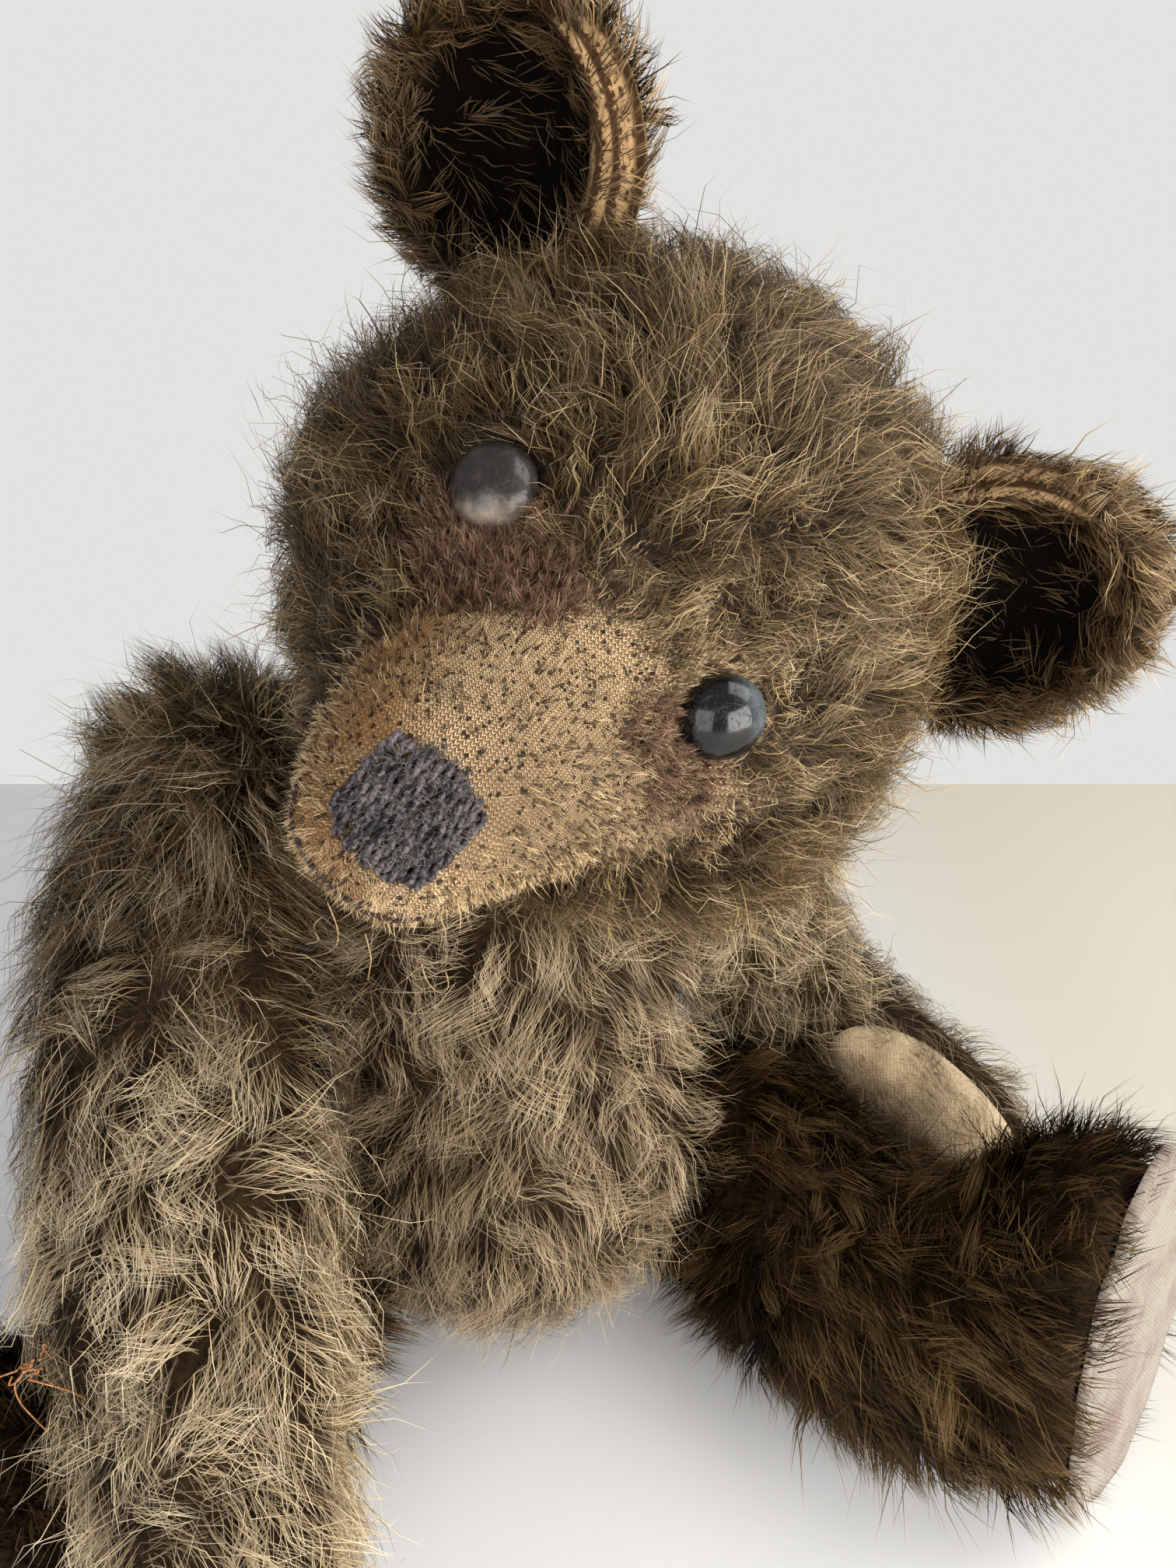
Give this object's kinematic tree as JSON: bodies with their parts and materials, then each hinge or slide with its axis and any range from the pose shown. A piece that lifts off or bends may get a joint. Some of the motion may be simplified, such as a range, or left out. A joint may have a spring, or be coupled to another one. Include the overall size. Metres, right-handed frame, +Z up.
{
  "type": "jointed teddy bear",
  "caption": "Seated old mohair teddy bear with a tipped head, bare muzzle, stitched nose, button eyes, cupped ears and disc-jointed arms and legs.",
  "frame": {"origin": "on the table under the middle of the body, in the flat of the seat", "axes": "the bear's body faces -Y, +X is its own left, +Z is up"},
  "size_m": [0.2174, 0.1374, 0.2155],
  "materials": {
    "torso": "worn mohair pile",
    "head": "worn mohair pile",
    "ear_right": "worn mohair pile",
    "ear_left": "worn mohair pile",
    "arm_right": "worn mohair pile",
    "arm_left": "worn mohair pile",
    "leg_right": "worn mohair pile",
    "leg_left": "worn mohair pile",
    "paw_pad_right": "soiled felt",
    "paw_pad_left": "soiled felt",
    "foot_pad_right": "soiled felt",
    "foot_pad_left": "soiled felt",
    "nose_stitching": "wool yarn",
    "mouth_stitching": "wool yarn",
    "eye_right": "scratched gloss",
    "eye_left": "scratched gloss",
    "eye_shank_right": "satin",
    "eye_shank_left": "satin",
    "pin_body_neck": "satin",
    "pin_head_neck": "satin",
    "pin_arm_right": "satin",
    "pin_arm_left": "satin",
    "pin_leg_right": "satin",
    "pin_leg_left": "satin",
    "washer_arm_right": "satin",
    "washer_arm_left": "satin",
    "washer_leg_right": "satin",
    "washer_leg_left": "satin",
    "washer_body_arm_right": "satin",
    "washer_body_arm_left": "satin",
    "washer_body_leg_right": "satin",
    "washer_body_leg_left": "satin",
    "washer_body_neck": "satin",
    "washer_head_neck": "satin",
    "disc_arm_right": "matt board",
    "disc_arm_left": "matt board",
    "disc_leg_right": "matt board",
    "disc_leg_left": "matt board",
    "disc_body_arm_right": "matt board",
    "disc_body_arm_left": "matt board",
    "disc_body_leg_right": "matt board",
    "disc_body_leg_left": "matt board",
    "disc_body_neck": "matt board",
    "disc_head_neck": "matt board"
  },
  "bodies": {
    "body": {"torso": "torso", "disc_body_neck": "disc_body_neck", "washer_body_neck": "washer_body_neck", "disc_body_arm_right": "disc_body_arm_right", "washer_body_arm_right": "washer_body_arm_right", "disc_body_arm_left": "disc_body_arm_left", "washer_body_arm_left": "washer_body_arm_left", "disc_body_leg_right": "disc_body_leg_right", "washer_body_leg_right": "washer_body_leg_right", "disc_body_leg_left": "disc_body_leg_left", "washer_body_leg_left": "washer_body_leg_left"},
    "neck_link": {"pin_body_neck": "pin_body_neck"},
    "head": {"head": "head", "ear_right": "ear_right", "ear_left": "ear_left", "eye_right": "eye_right", "eye_left": "eye_left", "eye_shank_right": "eye_shank_right", "eye_shank_left": "eye_shank_left", "nose_stitching": "nose_stitching", "mouth_stitching": "mouth_stitching", "disc_head_neck": "disc_head_neck", "washer_head_neck": "washer_head_neck", "pin_head_neck": "pin_head_neck"},
    "arm_right": {"arm_right": "arm_right", "paw_pad_right": "paw_pad_right", "disc_arm_right": "disc_arm_right", "washer_arm_right": "washer_arm_right", "pin_arm_right": "pin_arm_right"},
    "arm_left": {"arm_left": "arm_left", "paw_pad_left": "paw_pad_left", "disc_arm_left": "disc_arm_left", "washer_arm_left": "washer_arm_left", "pin_arm_left": "pin_arm_left"},
    "leg_right": {"leg_right": "leg_right", "foot_pad_right": "foot_pad_right", "disc_leg_right": "disc_leg_right", "washer_leg_right": "washer_leg_right", "pin_leg_right": "pin_leg_right"},
    "leg_left": {"leg_left": "leg_left", "foot_pad_left": "foot_pad_left", "disc_leg_left": "disc_leg_left", "washer_leg_left": "washer_leg_left", "pin_leg_left": "pin_leg_left"}
  },
  "joints": [
    {"name": "neck_swivel", "type": "hinge", "parent": "body", "child": "neck_link", "pos_m": [0, -0.006, 0.122], "axis": [0, 0, 1], "range_deg": [-75, 75]},
    {"name": "head_tilt", "type": "hinge", "parent": "neck_link", "child": "head", "pos_m": [0, -0.006, 0.122], "axis": [0.6157, 0.788, 0], "range_deg": [-50, 0]},
    {"name": "shoulder_right", "type": "hinge", "parent": "body", "child": "arm_right", "pos_m": [-0.0285, 0.0025, 0.093], "axis": [-0.9945, 0, 0.1045], "range_deg": [0, 45]},
    {"name": "shoulder_left", "type": "hinge", "parent": "body", "child": "arm_left", "pos_m": [0.0285, 0.0025, 0.093], "axis": [0.9945, 0, 0.1045], "range_deg": [0, 30]},
    {"name": "hip_right", "type": "hinge", "parent": "body", "child": "leg_right", "pos_m": [-0.0278, -0.0115, 0.024], "axis": [0.9703, -0.2419, 0], "range_deg": [-10, 90]},
    {"name": "hip_left", "type": "hinge", "parent": "body", "child": "leg_left", "pos_m": [0.0278, -0.0115, 0.024], "axis": [0.9703, 0.2419, 0], "range_deg": [0, 90]}
  ]
}
